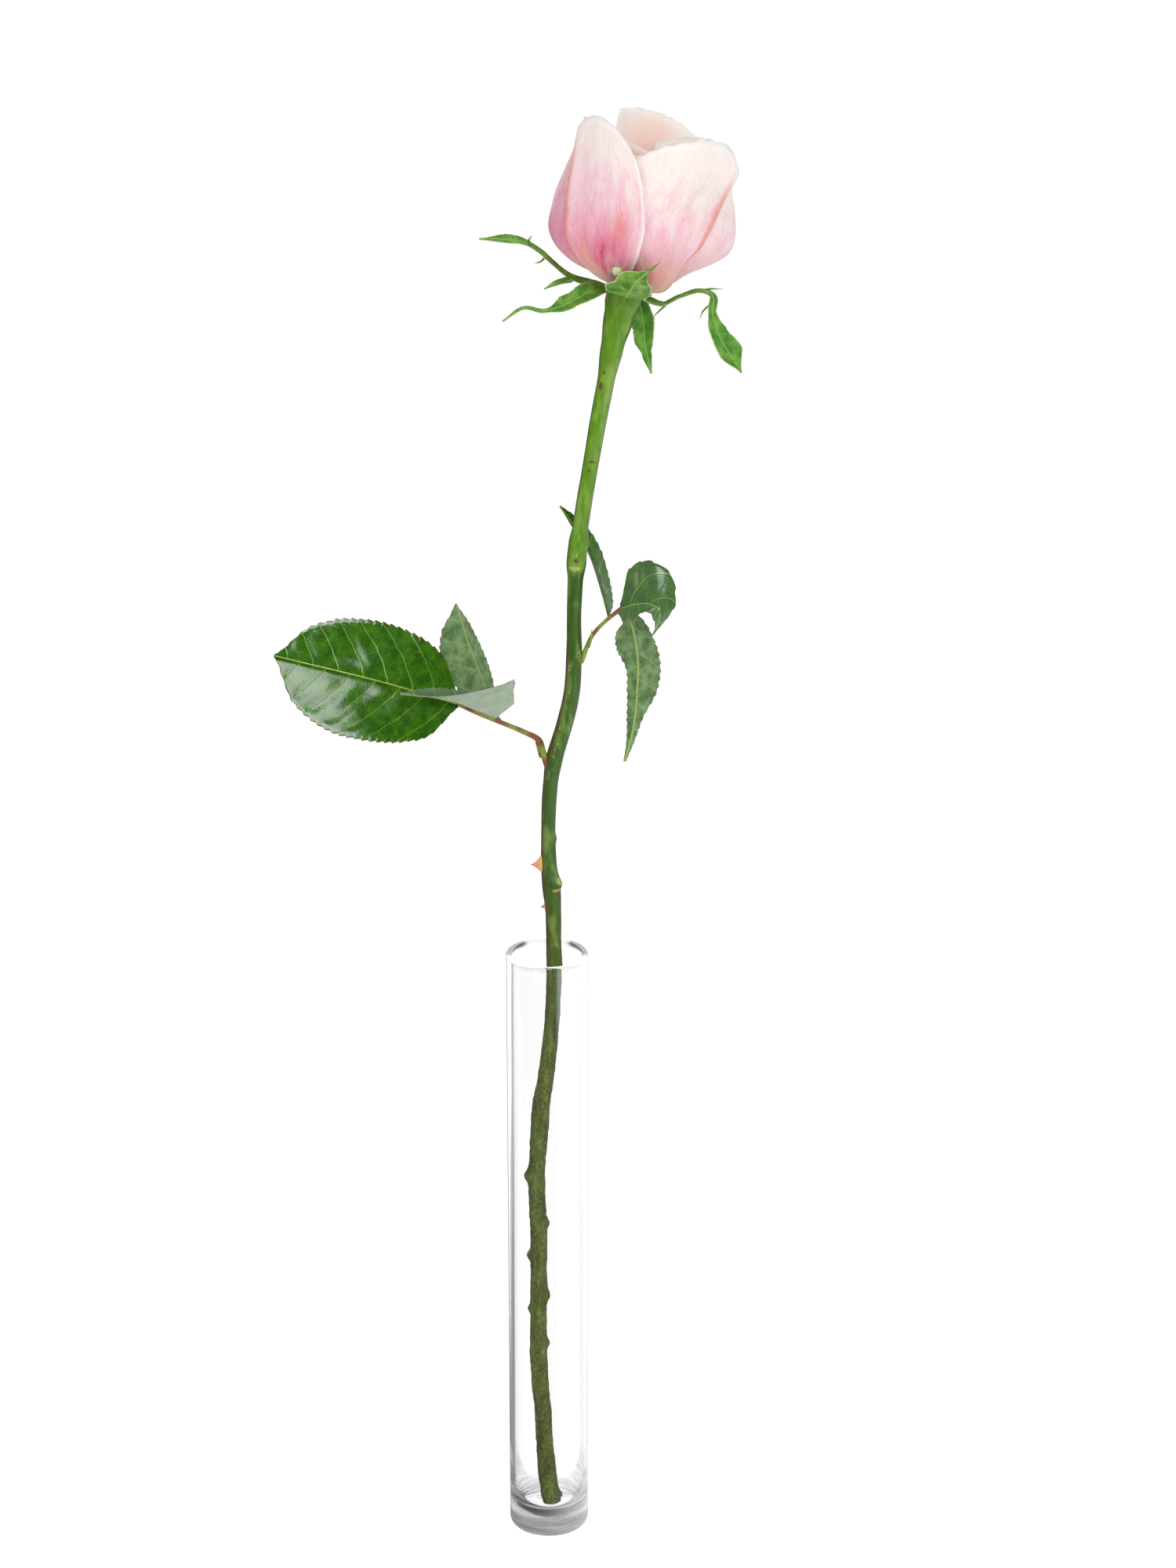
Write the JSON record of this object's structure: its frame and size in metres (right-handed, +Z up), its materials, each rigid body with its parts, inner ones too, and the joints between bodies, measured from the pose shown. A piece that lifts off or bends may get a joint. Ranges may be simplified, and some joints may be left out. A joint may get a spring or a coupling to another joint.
{
  "type": "rose in a bud vase",
  "caption": "Cut rose with a half-open bloom and a leafy, prickly stem, standing in a tall straight bud vase of clear glass.",
  "frame": {"origin": "middle of the vase's flat foot, on the surface it stands on", "axes": "+Z up along the vase, +X to the right as the picture shows it, towards which the bloom leans, +Y away from the onlooker"},
  "size_m": [0.1647, 0.0856, 0.5404],
  "materials": {
    "clear_glass": "polished",
    "green_bark": "satin",
    "petal": "matte",
    "sepal": "matte",
    "leaf": "satin"
  },
  "bodies": {
    "root": {"vase": "clear_glass", "stem": "green_bark", "bloom": "petal", "sepal_upper_left": "sepal", "sepal_lower_left": "sepal", "sepal_front": "sepal", "sepal_right": "sepal", "sepal_back": "sepal", "leaf_lower_left": "leaf", "leaf_upper_right": "leaf"}
  },
  "joints": []
}
